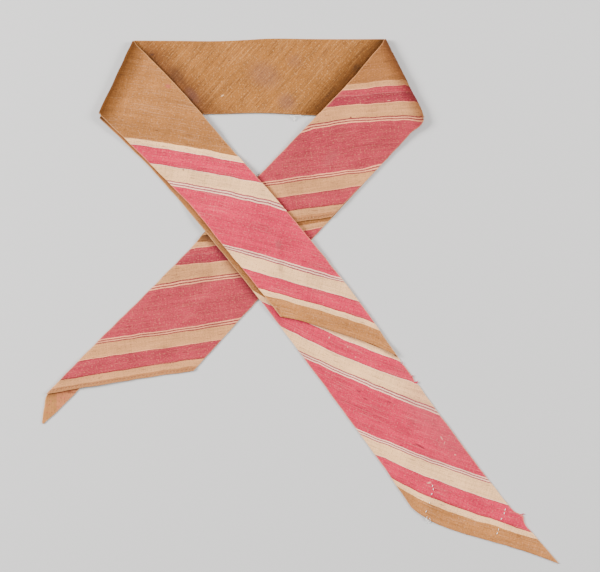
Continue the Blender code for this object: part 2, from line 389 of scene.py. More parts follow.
def tan_cotton():
    """Plain tan cotton with thin pale and dark threads on the slant."""
    material, tree = new_material("tan_cotton")
    where, _, _ = cloth_coordinates(tree)
    ground = (0.318, 0.118, 0.023, 1.0)
    pale_thread = (0.56, 0.25, 0.075, 1.0)
    dark_thread = (0.18, 0.066, 0.018, 1.0)
    pale = patches(tree, where, (0.04, 1.0), size=0.62, detail=3.0)
    dark = patches(tree, where, (0.05, 1.0), size=0.75, detail=3.0)
    colour = mixed(tree, fade(tree, pale, 0.57, 0.66, 0.0, 0.30), ground, pale_thread)
    colour = mixed(tree, fade(tree, dark, 0.56, 0.65, 0.0, 0.60), colour, dark_thread)
    add_weave_and_painted_light(
        tree, where, colour, slub=0.35, fleck=0.40, fleck_colour=(0.66, 0.34, 0.13, 1.0),
        # shade is the painted olive shade on the neck beside the right front's edge
        rim=(0.55, 0.26, 0.09, 1.0), shade=(0.28, 0.22, 0.07, 1.0), shade_reach=26.0,
        marks=NECK_MARKS,
    )
    return material


def lay_neck(name, low, high, material):
    """One fold of the neck stretch, between two heights."""
    half = (high - low) / 2
    length = middle_length(NECK)
    cos = math.cos(math.radians(NECK_WEFT_SLANT))
    sin = math.sin(math.radians(NECK_WEFT_SLANT))
    spots = []
    for along in spaced(length, half):
        share = along / length
        row = section_at(NECK, share)
        width = square_width(NECK, share)
        ends = min(along, length - along)
        line = []
        for d in spaced(NECK_GRID_WIDTH, half):
            across = d / NECK_GRID_WIDTH
            x, y = plan_point(row, across)
            edge = min(across, 1 - across) * width
            lift = 0.0
            if low > 0:
                wave = noise.noise(Vector((x / NECK_WAVE_LENGTH, y / NECK_WAVE_LENGTH, NECK_WAVE_SEED)))
                opening = max(crease_lift(x, y, LEFT_CREASE), crease_lift(x, y, RIGHT_CREASE))
                lift = NECK_WAVE_HEIGHT * (1 + wave)
                lift += rippled(x, y, NECK_RIPPLES)
                lift += NECK_CREASE_SHARE * opening
            line.append(Spot(
                place=Vector((x, y, (low + high) / 2 + lift)),
                normal=Vector((0, 0, 1)),
                half=half * min(roundness(edge, half), roundness(ends, half)),
                u=x * cos + y * sin,
                v=y * cos - x * sin,
                edge=edge,
                # crease carries the distance from the right front's edge, for the painted olive shade;
                # shade is the painted shadow beside the left front's edge
                crease=distance_to_line(x, y, RIGHT_FRONT_SHADE_LINE),
                shade=shade_at(x, y, [NECK_SHADOW]),
            ))
        spots.append(line)
    obj = sheet_of_cloth(name, spots)
    obj.data.materials.append(material)
    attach(obj, "root")
    return obj


def sew(name, routes, radius, material):
    """Lengths of thread as one piece: a thin tube along each route, with closed ends."""
    points = []
    faces = []
    for route in routes:
        places = [Vector(p) for p in route]
        first = len(points)
        last = len(places) - 1
        for k, place in enumerate(places):
            run = places[min(k + 1, last)] - places[max(k - 1, 0)]
            side = run.cross(Vector((0, 0, 1))).normalized()
            up = side.cross(run).normalized()
            for turn in range(THREAD_SIDES):
                angle = math.tau * turn / THREAD_SIDES
                points.append(MM * (place + radius * (math.cos(angle) * side + math.sin(angle) * up)))
        for k in range(last):
            ring = first + THREAD_SIDES * k
            for turn in range(THREAD_SIDES):
                a = ring + turn
                b = ring + (turn + 1) % THREAD_SIDES
                faces.append((a, a + THREAD_SIDES, b + THREAD_SIDES, b))
        ring = first + THREAD_SIDES * last
        faces.append([first + turn for turn in range(THREAD_SIDES)])
        faces.append([ring + turn for turn in reversed(range(THREAD_SIDES))])
    mesh = bpy.data.meshes.new(name)
    mesh.from_pydata(points, [], faces)
    mesh.shade_smooth()
    mesh.materials.append(material)
    obj = bpy.data.objects.new(name, mesh)
    bpy.context.scene.collection.objects.link(obj)
    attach(obj, "root")
    return obj


def thread_material(name, colour):
    """Plain matt sewing thread or a single fibre."""
    material, tree = new_material(name)
    shader = tree.nodes["Principled BSDF"]
    shader.inputs["Base Color"].default_value = colour
    shader.inputs["Roughness"].default_value = 0.8
    shader.inputs["Specular IOR Level"].default_value = 0.2
    return material


neck_cotton = tan_cotton()
white_thread = thread_material("white_thread", (0.90, 0.86, 0.80, 1.0))
neck_under = lay_neck("neck_under_fold", 0.0, NECK_UNDER_TOP, neck_cotton)
neck_over = lay_neck("neck_over_fold", NECK_OVER_BASE, NECK_THICKNESS, neck_cotton)
loose_thread = sew("loose_thread", LOOSE_THREAD, LOOSE_THREAD_RADIUS, white_thread)
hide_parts("neck_band")


# Right front, layer beneath
# The border's striped cotton, wrong side up. It comes forward over the neck at the right crease,
# slants down to the left and ends in a narrow hem, turned up and sewn with small stitches.

LAYER = 1.0
SEAM = 0.3
DRAPE_REACH = 36.0
DRAPE_MARGIN = 5.0
FRONT_GRID_WIDTH = 85.0
WAVER_LENGTH = 13.0
WAVER_SIZE = 0.45
WAVER_APART = 50.0

# A roll has a line of cloth every so many degrees, and stands in for the flat cloth beside the
# crease as far as so many times its depth
ROLL_DEPTH = 2.5
# Painted crease shade on a roll: the crease distance it is given grows to this at the roll's underside
ROLL_SHADE_FADE = 7.5
ROLL_STEP = 15
ROLL_RIM_PER_DEGREE = 0.1
ROLL_COVERS = 1.4

# Thickness with the layer below, width, the gap between them, and the painted shade line at the fold
HEM_THICKNESS = 1.5
HEM_WIDTH = 5.0
HEM_GAP = 0.05
HEM_FOLD_SHADE = 0.7
HEM_FOLD_REACH = 0.9
HEM_LINE_STEPS = 12
FAR_FROM_CREASE = 99.0

# One stitch is an arch of four points: how far along the hem, and how high above it
STITCH_STEP = 3.8
STITCH_SHIFT = 0.2
STITCH_INSET = 0.9
STITCH_RADIUS = 0.28
STITCH_ARCH = ((-0.8, 0.05), (-0.3, 0.35), (0.3, 0.35), (0.8, 0.05))

RIGHT_LOWER_SEED = 11.0
RIGHT_WEFT_SLANT = 8.0

RIGHT_LOWER = [
    Section(82.0, 252.5, 116.0, 178.5),
    Section(25.5, 195.0, 79.5, 136.0),
    Section(-30.5, 137.0, 42.0, 95.0),
    Section(-86.0, 78.5, 4.5, 54.5),
    Section(-141.5, 21.0, -32.5, 13.0),
    Section(-198.5, -35.5, -70.0, -28.5),
    Section(-254.5, -92.7, -107.0, -69.5, -0.7, -0.7),
]
TURNED_CORNER = [
    Section(-239.0, -80.0, -210.0, -76.5),
    Section(-253.9, -93.6, -221.0, -87.5),
    Section(-256.4, -106.5, -239.5, -106.5),
    Section(-258.6, -121.3, -257.2, -122.6),
]

LEFT_FRONT_LEFT_EDGE = [(-113, 91.5), (-73.5, 43), (-35, -5.5), (2.5, -55.5)]
RIGHT_LOWER_RIPPLES = [
    Ripple(-172, -58, 8, 52, 5, 0.83),
    Ripple(-118, -22, 46, 44, 7, 1.05),
    Ripple(-96, 34, 40, 30, 5, 0.75),
    Ripple(-150, 2, 44, 26, 4, 0.60),
    Ripple(-208, -64, 30, 18, 4, 0.68),
]

# The edge of a stripe: its distance from the cloth's hem, and where it meets the band's edges
Crossing = namedtuple("Crossing", "cloth left_y right_y")
RIGHT_LOWER_STRIPES = [
    Crossing(145.5, 58.6, 80.0),
    Crossing(139.5, 51.7, 73.5),
    Crossing(123.5, 35.8, 53.5),
    Crossing(109.0, 16.3, 33.5),
    Crossing(104.0, 9.9, 27.0),
    Crossing(56.0, -38.6, -16.2),
    Crossing(51.0, -43.4, -22.5),
    Crossing(36.0, -59.6, -38.4),
    Crossing(20.0, -79.3, -56.4),
    Crossing(14.0, -88.5, -64.5),
    Crossing(9.0, -94.0, -69.0),
]


def quad(first, last):
    """The four corners of the cloth between two sections, anticlockwise."""
    return [
        (first.left_x, first.left_y),
        (last.left_x, last.left_y),
        (last.right_x, last.right_y),
        (first.right_x, first.right_y),
    ]


def distance_outside(x, y, corners):
    """How far a point lies outside a four-sided outline; negative inside it."""
    furthest = -math.inf
    for (ax, ay), (bx, by) in zip(corners, corners[1:] + corners[:1]):
        side = (by - ay) * (x - ax) - (bx - ax) * (y - ay)
        furthest = max(furthest, side / math.dist((ax, ay), (bx, by)))
    return furthest


def rise(x, y, supports):
    """Height at which cloth lies over its supports, easing down to the table round them."""
    height = 0.0
    for corners, top in supports:
        gone = (distance_outside(x, y, corners) - DRAPE_MARGIN) / DRAPE_REACH
        share = min(max(1 - gone, 0.0), 1.0)
        height = max(height, (top + SEAM) * share * share * (3 - 2 * share))
    return height


def wavered(x, y, seed):
    """A point moved a little, so that no edge of the cloth is quite straight."""
    aside = noise.noise(Vector((x / WAVER_LENGTH, y / WAVER_LENGTH, seed)))
    along = noise.noise(Vector((x / WAVER_LENGTH, y / WAVER_LENGTH, seed + WAVER_APART)))
    return x + WAVER_SIZE * aside, y + WAVER_SIZE * along


def stripe_place(crossings, y, edge):
    """How far from the hem the cloth is where a band's edge, 1 or 2, passes height y."""
    for a, b in zip(crossings, crossings[1:]):
        if y >= b[edge] or b is crossings[-1]:
            return b.cloth + (a.cloth - b.cloth) * (y - b[edge]) / (a[edge] - b[edge])


def lay_layer(
    name, rows, crossings, slant, height, seed, shadows=(), rolls=False, pushes=(), crease=None,
    sag=0.0,
):
    """One layer of a front. height(x, y) is its underside, slant its weft's angle and sag the
    bow of its stripes. A layer that rolls starts with a round turn at its crease."""
    half = LAYER / 2
    length = middle_length(rows)
    cos = math.cos(math.radians(slant))
    sin = math.sin(math.radians(slant))
    crease = crease or rows[0]
    spots = []

    def line_at(share, end_distance, angle=None):
        row = section_at(rows, share)
        width = square_width(rows, share)
        left_v = stripe_place(crossings, row.left_y, 1)
        right_v = stripe_place(crossings, row.right_y, 2)
        line = []
        for d in spaced(FRONT_GRID_WIDTH, half):
            across = d / FRONT_GRID_WIDTH
            x, y = wavered(*plan_point(row, across), seed)
            for push in pushes:
                near = math.exp(-((x - push.x) ** 2 + (y - push.y) ** 2) / push.reach ** 2)
                x += near * push.move_x
                y += near * push.move_y
            edge = min(across, 1 - across) * width
            inside, normal_x, normal_y = from_crease(x, y, crease)
            v = (1 - across) * left_v + across * right_v + 4 * sag * across * (1 - across)
            u = x * cos + y * sin
            base = max(height(x, y), 0.0)
            if angle is None:
                place = Vector((x, y, base + half))
                normal = Vector((0, 0, 1))
            else:
                turn = math.radians(angle)
                radius = (base - LAYER) / 2
                normal = Vector((-math.cos(turn) * normal_x, -math.cos(turn) * normal_y, math.sin(turn)))
                inward = ROLL_DEPTH * (1 - math.cos(turn)) + half * math.cos(turn)
                rest = (base + LAYER) / 2 + (radius + half) * math.sin(turn)
                place = Vector((x + inward * normal_x, y + inward * normal_y, rest))
                v += (90 - angle) / 180 * radius * math.pi
                # The painted crease shade fades round the roll towards its underside
                inside = ROLL_SHADE_FADE * (90 - angle) / 180
            thick = half * min(roundness(edge, half), roundness(end_distance, half))
            shade = shade_at(x, y, shadows)
            line.append(Spot(place, normal, thick, u, v, edge, max(inside, 0.0), shade))
        return line

    if rolls:
        for angle in range(-90, 91, ROLL_STEP):
            spots.append(line_at(0.0, (angle + 90) * ROLL_RIM_PER_DEGREE, angle))
    for along in spaced(length, half):
        if rolls and along < ROLL_COVERS * ROLL_DEPTH:
            continue
        end_distance = length - along if rolls else min(along, length - along)
        spots.append(line_at(along / length, end_distance))
    return sheet_of_cloth(name, spots)


def hem_line(rows, back):
    """A line across a stretch, so far back from its hem."""
    row = section_at(rows, 1 - back / middle_length(rows))
    return [plan_point(row, k / HEM_LINE_STEPS) for k in range(HEM_LINE_STEPS + 1)]


def lay_hem(name, rows, height, seed, slant, material):
    """The hem's turned-up strip, pressed flat on the layer and reaching its edge."""
    half = (HEM_THICKNESS - LAYER) / 2
    length = middle_length(rows)
    cos = math.cos(math.radians(slant))
    sin = math.sin(math.radians(slant))
    spots = []
    for along in spaced(HEM_WIDTH, half):
        share = 1 - (HEM_WIDTH - along) / length
        row = section_at(rows, share)
        width = square_width(rows, share)
        ends = min(along, HEM_WIDTH - along)
        line = []
        for d in spaced(FRONT_GRID_WIDTH, half):
            across = d / FRONT_GRID_WIDTH
            x, y = wavered(*plan_point(row, across), seed)
            edge = min(across, 1 - across) * width
            line.append(Spot(
                place=Vector((x, y, max(height(x, y), 0.0) + LAYER + HEM_GAP + half)),
                normal=Vector((0, 0, 1)),
                half=half * min(roundness(edge, half), roundness(ends, half)),
                u=x * cos + y * sin,
                v=HEM_WIDTH - along,
                edge=min(edge, HEM_WIDTH - along),
                crease=FAR_FROM_CREASE,
                # Painted shade line where the strip folds under
                shade=max(HEM_FOLD_SHADE * (1 - along / HEM_FOLD_REACH), 0.0),
            ))
        spots.append(line)
    obj = sheet_of_cloth(name, spots)
    obj.data.materials.append(material)
    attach(obj, "root")
    return obj


def sew_hem(name, rows, height, seed, material):
    """A row of small stitches that holds a hem's strip down."""
    length = middle_length(rows)
    row = section_at(rows, 1 - (HEM_WIDTH - STITCH_INSET) / length)
    reach = math.hypot(row.right_x - row.left_x, row.right_y - row.left_y)
    count = int(reach / STITCH_STEP)
    chance = random.Random(name)
    routes = []
    for k in range(1, count):
        middle = (k + chance.uniform(-STITCH_SHIFT, STITCH_SHIFT)) / count
        route = []
        for step, lift in STITCH_ARCH:
            x, y = wavered(*plan_point(row, middle + step / reach), seed)
            route.append(Vector((x, y, height(x, y) + HEM_GAP + HEM_THICKNESS + lift)))
        routes.append(route)
    return sew(name, routes, STITCH_RADIUS, material)


def declare_cloth(obj, node, material):
    obj.data.materials.append(material)
    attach(obj, "root")
    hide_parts(node)


LIGHT_ROSE = (0.46, 0.080, 0.085, 1.0)
LIGHT_ROSE_START = 132.6
BORDER_WIDTH = 160.0
STRIPE_WANDER = 1.8
STRIPE_TOOTH = 0.25


def striped_cotton(
    name, hem, tan, cream, rose, rich, pale, dark, deep, fleck, rim, shade, shade_reach, marks,
):
    """Cotton with the border's stripes, laid out by the distance from the cloth's hem."""
    material, tree = new_material(name)
    where, _, across = cloth_coordinates(tree)
    wander = patches(tree, where, (1.0, 0.2), size=0.045, detail=2.0)
    tooth = patches(tree, where, (1.0, 0.3), size=0.9, detail=1.0)
    place = across
    for noises, reach in ((wander, STRIPE_WANDER), (tooth, STRIPE_TOOTH)):
        move = calc(tree, "MULTIPLY", calc(tree, "SUBTRACT", noises, 0.5), reach)
        place = calc(tree, "ADD", place, move)
    stripes = [
        (0.0, hem), (14.0, cream), (19.5, pale), (20.0, deep), (20.7, rose),
        (35.3, deep), (36.0, pale), (36.6, cream), (51.0, dark), (52.0, pale), (53.4, dark),
        (54.4, pale), (56.0, rose), (104.0, pale), (105.4, dark), (106.4, pale), (107.8, dark),
        (108.8, cream), (123.0, pale), (123.5, deep), (124.2, rich),
        (LIGHT_ROSE_START, LIGHT_ROSE), (133.4, rose), (138.8, deep), (139.5, pale),
        (140.1, cream), (145.5, tan),
    ]
    ramp = add_node(tree, "ShaderNodeValToRGB", {0: calc(tree, "DIVIDE", place, BORDER_WIDTH)})
    ramp.color_ramp.interpolation = "CONSTANT"
    stops = ramp.color_ramp.elements
    stops.remove(stops[1])
    stops[0].color = stripes[0][1]
    for start, colour in stripes[1:]:
        if start == LIGHT_ROSE_START and rich == rose:
            continue
        stops.new(start / BORDER_WIDTH).color = colour
    add_weave_and_painted_light(
        tree, where, ramp.outputs[0], slub=0.40, fleck=fleck, fleck_colour=pale,
        rim=rim, shade=shade, shade_reach=shade_reach, marks=marks,
    )
    return material


FADED_ROSE = (0.392, 0.033, 0.050, 1.0)
FADED_HEM = (0.430, 0.172, 0.058, 1.0)
DARK_RED = (0.10, 0.014, 0.018, 1.0)
PALE_PINK = (0.88, 0.42, 0.27, 1.0)
OLIVE = (0.200, 0.085, 0.016, 1.0)
wrong_side = striped_cotton(
    "striped_wrong_side",
    hem=FADED_HEM,
    tan=(0.290, 0.107, 0.026, 1.0),
    cream=(0.585, 0.258, 0.098, 1.0),
    rose=FADED_ROSE,
    rich=(0.300, 0.024, 0.040, 1.0),
    pale=(0.85, 0.33, 0.17, 1.0),
    dark=(0.230, 0.026, 0.032, 1.0),
    deep=(0.270, 0.024, 0.030, 1.0),
    fleck=0.22,
    rim=(0.80, 0.38, 0.17, 1.0),
    # shade is the painted crease shade
    shade=(0.43, 0.36, 0.28, 1.0),
    shade_reach=17.0,
    marks=[
        Mark(50, 183.5, 1.5, 1.3, 0, DARK_RED, 0.9),
        Mark(88.0, 200.3, 2.4, 0.6, 8, PALE_PINK, 0.6),
        Mark(-95, 22, 20, 10, 46, BROWN, 0.20),
        Mark(30, 143, 16, 8, 46, VIOLET, 0.15),
        # Darkens the torn corner: partly its own darker tan, partly painted shade beside the left
        # front's edge
        Mark(-94, 67, 15, 8, 30, OLIVE, 0.6),
    ],
)

neck_support = (quad(NECK[0], NECK[-1]), NECK_THICKNESS)
corner_support = (quad(TURNED_CORNER[0], TURNED_CORNER[-1]), LAYER)
under_right = [neck_support, corner_support]


def right_lower_height(x, y):
    """Height of the layer's underside at a point."""
    lift = crease_lift(x, y, RIGHT_CREASE) + rippled(x, y, RIGHT_LOWER_RIPPLES)
    return rise(x, y, under_right) + lift


right_lower = lay_layer(
    "right_lower_layer", RIGHT_LOWER, RIGHT_LOWER_STRIPES, RIGHT_WEFT_SLANT, right_lower_height,
    RIGHT_LOWER_SEED, crease=RIGHT_CREASE,
    shadows=[
        Shadow(LEFT_FRONT_LEFT_EDGE, 9.0, 0.75),
        Shadow(hem_line(RIGHT_LOWER, HEM_WIDTH), 1.2, 0.3),
    ],
)
right_lower_hem = lay_hem(
    "right_lower_hem", RIGHT_LOWER, right_lower_height, RIGHT_LOWER_SEED, RIGHT_WEFT_SLANT,
    wrong_side,
)
tan_thread = thread_material("tan_thread", (0.53, 0.26, 0.115, 1.0))
right_lower_stitches = sew_hem(
    "right_lower_stitches", RIGHT_LOWER, right_lower_height, RIGHT_LOWER_SEED, tan_thread
)
declare_cloth(
    right_lower, "right_front_lower", wrong_side,
)


# Turned corner
# The cotton square's own corner. It is tucked under the right front, is held by nothing but the
# weight on it, and shows past the hem.

CORNER_SEED = 5.0
CORNER_WEFT_SLANT = 0.0
CORNER_TAN = (0.440, 0.180, 0.050, 1.0)
CORNER_PINK = (0.520, 0.180, 0.068, 1.0)
CORNER_PINK_START = -244.5
CORNER_PINK_FULL = -243.0
CORNER_STRIPES = [Crossing(20.0, -70.0, -70.0), Crossing(0.0, -130.0, -130.0)]


def corner_cotton():
    """The corner's face: tan, with a pinker half where the stripe begins."""
    material, tree = new_material("corner_cotton")
    where, along, _ = cloth_coordinates(tree)
    pink = fade(tree, along, CORNER_PINK_START, CORNER_PINK_FULL, 0.0, 1.0)
    colour = mixed(tree, pink, CORNER_TAN, CORNER_PINK)
    add_weave_and_painted_light(
        tree, where, colour, slub=0.3, fleck=0.25, fleck_colour=(0.58, 0.09, 0.07, 1.0),
        rim=(0.90, 0.50, 0.22, 1.0), shade=(1.0, 1.0, 1.0, 1.0), shade_reach=1.0, marks=[],
    )
    return material


turned_corner = lay_layer(
    "turned_corner", TURNED_CORNER, CORNER_STRIPES, CORNER_WEFT_SLANT, lambda x, y: 0.0,
    CORNER_SEED, shadows=[Shadow(hem_line(RIGHT_LOWER, 0.0), 5.0, 0.6)],
)
declare_cloth(
    turned_corner, "right_turned_corner",
    corner_cotton(),
)


# Right front, layer on top
# The same cotton, still wrong side up. It rolls round the right crease and stops at its sewn
# hem, just past the crossing, where a small torn corner of it sticks out.

RIGHT_UPPER_SEED = 23.0
TORN_CORNER_SEED = 31.0

RIGHT_UPPER = [
    Section(85.4, 261.8, 124.4, 184.5),
    Section(41.5, 211.0, 101.5, 158.5),
    Section(-5.0, 163.5, 78.0, 133.5),
    Section(-51.5, 115.5, 54.5, 109.0),
    Section(-98.0, 66.0, 31.0, 84.5),
]
LEFT_FRONT_RIGHT_EDGE = [(-74.5, 159), (-28.5, 107.5), (15.5, 55), (58, 1)]
RIGHT_UPPER_STRIPES = [
    Crossing(186.3, 262.0, 256.0),
    Crossing(145.5, 215.6, 217.8),
    Crossing(139.5, 210.0, 212.4),
    Crossing(123.5, 193.5, 198.4),
    Crossing(109.0, 175.4, 185.6),
    Crossing(104.0, 167.0, 180.0),
    Crossing(56.0, 117.5, 137.2),
    Crossing(51.0, 112.0, 129.5),
    Crossing(36.0, 98.8, 115.6),
    Crossing(20.0, 81.3, 97.4),
    Crossing(14.0, 72.0, 90.0),
    Crossing(9.0, 66.0, 85.0),
]
RIGHT_UPPER_RIPPLES = [
    Ripple(98, 201, 64, 30, 4, 0.90),
    Ripple(66, 186, 58, 34, 6, 0.75),
    Ripple(58, 142, 46, 38, 6, 0.83),
    Ripple(20, 128, 12, 26, 4, 0.52),
    Ripple(24, 96, 8, 34, 4, 0.75),
]
TORN_CORNER = [
    Section(-90.8, 72.4, -80.0, 66.5),
    Section(-95.2, 70.4, -81.0, 64.5),
    Section(-99.4, 65.6, -83.0, 62.5),
    Section(-103.2, 60.6, -86.5, 60.0),
]
TORN_CORNER_STRIPES = [Crossing(11.3, 75.0, 75.0), Crossing(6.5, 55.0, 55.0)]

# A dent or bulge in an edge: its middle, its reach and how far it moves the cloth
Push = namedtuple("Push", "x y reach move_x move_y")
RIGHT_UPPER_PUSHES = [Push(118.5, 177.5, 9.0, 1.7, -1.5), Push(125.0, 185.5, 4.5, -1.3, 0.0)]


def right_upper_height(x, y):
    """Height of the layer's underside at a point."""
    return right_lower_height(x, y) + LAYER + SEAM + rippled(x, y, RIGHT_UPPER_RIPPLES)


right_upper = lay_layer(
    "right_upper_layer", RIGHT_UPPER, RIGHT_UPPER_STRIPES, RIGHT_WEFT_SLANT, right_upper_height,
    RIGHT_UPPER_SEED, rolls=True, pushes=RIGHT_UPPER_PUSHES,
    shadows=[
        Shadow(LEFT_FRONT_RIGHT_EDGE, 5.0, 0.35),
        Shadow(hem_line(RIGHT_UPPER, HEM_WIDTH), 1.2, 0.5),
    ],
)
right_upper_hem = lay_hem(
    "right_upper_hem", RIGHT_UPPER, right_upper_height, RIGHT_UPPER_SEED, RIGHT_WEFT_SLANT,
    wrong_side,
)
right_upper_stitches = sew_hem(
    "right_upper_stitches", RIGHT_UPPER, right_upper_height, RIGHT_UPPER_SEED, tan_thread
)
torn_corner = lay_layer(
    "torn_corner", TORN_CORNER, TORN_CORNER_STRIPES, RIGHT_WEFT_SLANT,
    lambda x, y: right_lower_height(x, y) + LAYER + SEAM, TORN_CORNER_SEED,
    shadows=[Shadow(LEFT_FRONT_LEFT_EDGE, 20.0, 0.75)],
)
torn_corner.data.materials.append(wrong_side)
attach(torn_corner, "root")
declare_cloth(
    right_upper, "right_front_upper", wrong_side,
)


# Left front, layer beneath
# The same cotton, right side up, so its stripes are brighter. It shows along the left edge as
# a tan fold, and past the upper hem down to the cloth's pointed corner, which carries two
# columns of white tacking.

LEFT_LOWER_SEED = 41.0
LEFT_LOWER_WEFT_SLANT = -18.0
LEFT_LOWER_SAG = 2.3
THREAD_GAP = 0.1
TACK_LENGTH = 1.7
TACK_LEAN = 0.35
TACK_ARCH = 0.5
TACK_STEPS = (-0.5, -0.2, 0.2, 0.5)
TACK_RADIUS = 0.36
FRAY_RADIUS = 0.22
FRAY_TURNS = (-60, 70)
FRAY_REACHES = (0.6, 1.4)
FRAY_SPREAD = 1.4

LEFT_LOWER = [
    Section(-200.5, 182.5, -163.5, 254.0),
    Section(-154.5, 138.0, -105.5, 194.0),
    Section(-113.0, 91.5, -50.5, 131.0),
    Section(-73.5, 43.0, 4.0, 68.0),
    Section(-35.0, -5.5, 55.5, 2.5),
    Section(2.5, -55.5, 104.5, -65.0),
    Section(39.5, -105.5, 153.5, -132.5),
    Section(76.5, -156.0, 204.5, -199.0),
    Section(111.0, -206.0, 259.0, -262.5, 6.5, 0),
]
LEFT_UPPER = [
    Section(-201.7, 187.9, -167.4, 260.3),
    Section(-169.0, 156.0, -119.5, 211.0),
    Section(-137.0, 124.0, -74.5, 159.0),
    Section(-105.5, 91.0, -28.5, 107.5),
    Section(-77.0, 55.5, 15.5, 55.0),
    Section(-48.0, 20.5, 58.0, 1.0),
    Section(-19.5, -15.5, 97.5, -55.5, -3.2, -3.4),
]
LEFT_LOWER_STRIPES = [
    Crossing(145.5, 11.3, -52.0),
    Crossing(139.5, 0.5, -61.0),
    Crossing(123.5, -24.4, -82.5),
    Crossing(109.0, -48.3, -106.5),
    Crossing(104.0, -56.0, -113.8),
    Crossing(56.0, -127.2, -176.3),
    Crossing(51.0, -133.4, -182.2),
    Crossing(36.0, -152.5, -204.3),
    Crossing(20.0, -175.4, -231.0),
    Crossing(14.0, -184.0, -238.6),
    Crossing(0.0, -204.5, -262.5),
]

LEFT_LOWER_RIPPLES = [
    Ripple(128, -200, 82, 26, 4, 1.20),
    Ripple(199, -226, 74, 18, 4, 0.90),
    Ripple(84, -104, -48, 46, 7, 1.05),
    Ripple(142, -128, -52, 54, 6, 0.90),
    Ripple(110, -166, -38, 30, 5, 0.75),
    Ripple(176, -196, -34, 30, 5, 0.68),
    Ripple(162, -224, -20, 26, 4, 0.75),
    Ripple(38, -72, -20, 22, 4, 0.68),
]
LEFT_LOWER_PUSHES = [
    Push(101.9, -60.9, 2.4, -1.3, -1.0),
    Push(115.9, -79.7, 2.4, -1.3, -1.0),
    Push(220.5, -214.5, 5.0, 4.6, 2.4),
    Push(229.0, -224.0, 3.0, -0.9, -0.7),
]
ROSE = (0.600, 0.021, 0.063, 1.0)
CREAM = (0.970, 0.545, 0.250, 1.0)
PALE = (0.970, 0.580, 0.400, 1.0)
GREY_ROSE = (0.420, 0.105, 0.105, 1.0)
LEFT_MARKS = [
    Mark(-132, 214.5, 4.2, 3.0, -20, (0.45, 0.06, 0.06, 1.0), 0.55),
    Mark(-117, 131.5, 1.5, 1.2, 0, BROWN, 0.8),
    Mark(-22, 56.5, 4.5, 7.0, 10, VIOLET, 0.35),
    Mark(-20, 34.0, 4.0, 8.0, 5, VIOLET, 0.30),
    # Painted shadow on the pink
    Mark(-22.5, -10, 3.0, 8.0, 8, DARK_RED, 0.35),
    Mark(58, -89.5, 4.0, 0.9, -24, DARK_RED, 0.7),
    Mark(65, -97.5, 4.5, 0.9, -24, DARK_RED, 0.6),
    Mark(89, -100.5, 5.0, 0.9, -24, DARK_RED, 0.5),
    Mark(119.5, -144.5, 8.5, 1.2, -28, DARK_RED, 0.75),
    Mark(141.0, -136.5, 1.0, 3.4, 30, PALE, 0.45),
    Mark(144.0, -141.0, 0.8, 2.0, -20, PALE, 0.40),
    Mark(154.5, -153.0, 1.5, 0.8, -25, PALE, 0.55),
    Mark(28.6, -36.0, 0.8, 1.4, 0, PALE, 0.6),
    Mark(47.0, -45.5, 1.1, 0.8, 0, PALE, 0.45),
    Mark(55.0, -55.5, 1.1, 0.8, 0, PALE, 0.45),
    Mark(128.5, -181.0, 3.0, 1.4, 20, PALE, 0.45),
    # Painted shadow under the lifted corner of the upper hem
    Mark(94.9, -54.0, 3.4, 1.3, -35, BROWN, 0.9),
    Mark(136, -114, 78, 34, -53, GREY_ROSE, 0.28),
]

right_side = striped_cotton(
    "striped_right_side",
    hem=(0.450, 0.172, 0.044, 1.0),
    tan=(0.372, 0.142, 0.034, 1.0),
    cream=CREAM,
    rose=ROSE,
    rich=ROSE,
    pale=PALE,
    dark=(0.330, 0.045, 0.070, 1.0),
    deep=(0.430, 0.014, 0.034, 1.0),
    fleck=0.13,
    rim=(0.90, 0.48, 0.22, 1.0),
    # shade is the painted crease shade
    shade=(0.27, 0.21, 0.04, 1.0),
    shade_reach=24.0,
    marks=LEFT_MARKS,
)

right_stack = (quad(RIGHT_UPPER[0], RIGHT_UPPER[-1]), LAYER + SEAM + HEM_THICKNESS)
right_single = (quad(RIGHT_LOWER[0], RIGHT_LOWER[-1]), LAYER)
under_left = [neck_support, right_stack, right_single]
LEFT_UPPER_LEFT_EDGE = [(row.left_x, row.left_y) for row in LEFT_UPPER]


def left_lower_height(x, y):
    """Height of the layer's underside at a point."""
    lift = crease_lift(x, y, LEFT_CREASE) + rippled(x, y, LEFT_LOWER_RIPPLES)
    return rise(x, y, under_left) + lift


left_lower = lay_layer(
    "left_lower_layer", LEFT_LOWER, LEFT_LOWER_STRIPES, LEFT_LOWER_WEFT_SLANT, left_lower_height,
    LEFT_LOWER_SEED, crease=LEFT_CREASE, pushes=LEFT_LOWER_PUSHES, sag=LEFT_LOWER_SAG,
    shadows=[
        Shadow(LEFT_UPPER_LEFT_EDGE, 9.0, 0.40),
        Shadow(LEFT_UPPER_LEFT_EDGE, 1.6, 0.6),
        Shadow(hem_line(LEFT_UPPER, 0.0), 4.0, 0.65),
    ],
)


def thread_on_cloth(points, height, lift):
    """A route of thread lying on a layer, arched a little in its middle."""
    last = len(points) - 1
    route = []
    for k, (x, y) in enumerate(points):
        arch = lift * math.sin(math.pi * k / last)
        route.append(Vector((x, y, height(x, y) + LAYER + THREAD_GAP + arch)))
    return route


